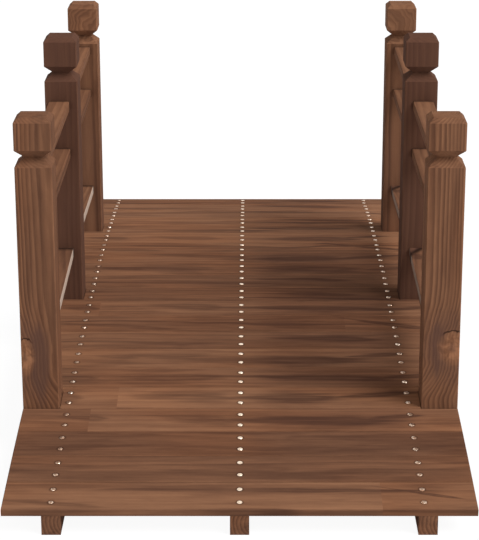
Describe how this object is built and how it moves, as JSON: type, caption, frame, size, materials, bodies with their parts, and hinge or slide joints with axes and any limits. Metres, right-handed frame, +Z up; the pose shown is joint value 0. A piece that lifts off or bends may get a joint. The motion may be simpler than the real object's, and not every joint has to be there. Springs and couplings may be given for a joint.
{
  "type": "wooden garden bridge",
  "caption": "Small arched garden bridge of brown stained softwood with a deck of cross boards and a low railing of square posts and rails on both sides.",
  "frame": {"origin": "on the ground under the middle of the bridge", "axes": "+Y along the bridge from the end that the picture is taken from, +X to the right of someone who walks that way, +Z up"},
  "size_m": [0.74, 1.6998, 0.616],
  "materials": {
    "deck_wood": "stained softwood boards, matt, slightly weathered",
    "stringer_wood": "stained softwood plank, matt",
    "post_wood": "stained softwood with strong upright grain and knots, matt",
    "rail_wood": "stained softwood, matt, thinly stained on the sawn edges",
    "fixing_steel": "galvanised nail and bolt heads, slightly dulled"
  },
  "bodies": {
    "root": {"deck_board_01": "deck_wood", "deck_board_02": "deck_wood", "deck_board_03": "deck_wood", "deck_board_04": "deck_wood", "deck_board_05": "deck_wood", "deck_board_06": "deck_wood", "deck_board_07": "deck_wood", "deck_board_08": "deck_wood", "deck_board_09": "deck_wood", "deck_board_10": "deck_wood", "deck_board_11": "deck_wood", "deck_board_12": "deck_wood", "deck_board_13": "deck_wood", "deck_board_14": "deck_wood", "deck_board_15": "deck_wood", "deck_board_16": "deck_wood", "deck_board_17": "deck_wood", "deck_board_18": "deck_wood", "deck_board_19": "deck_wood", "deck_board_20": "deck_wood", "deck_board_21": "deck_wood", "stringer_left": "stringer_wood", "stringer_centre": "stringer_wood", "stringer_right": "stringer_wood", "post_left_front": "post_wood", "post_left_middle": "post_wood", "post_left_back": "post_wood", "post_right_front": "post_wood", "post_right_middle": "post_wood", "post_right_back": "post_wood", "rail_top_left_front": "rail_wood", "rail_top_left_back": "rail_wood", "rail_top_right_front": "rail_wood", "rail_top_right_back": "rail_wood", "rail_middle_left_front": "rail_wood", "rail_middle_left_back": "rail_wood", "rail_middle_right_front": "rail_wood", "rail_middle_right_back": "rail_wood", "rail_lower_left_front": "rail_wood", "rail_lower_left_back": "rail_wood", "rail_lower_right_front": "rail_wood", "rail_lower_right_back": "rail_wood"}
  },
  "joints": []
}
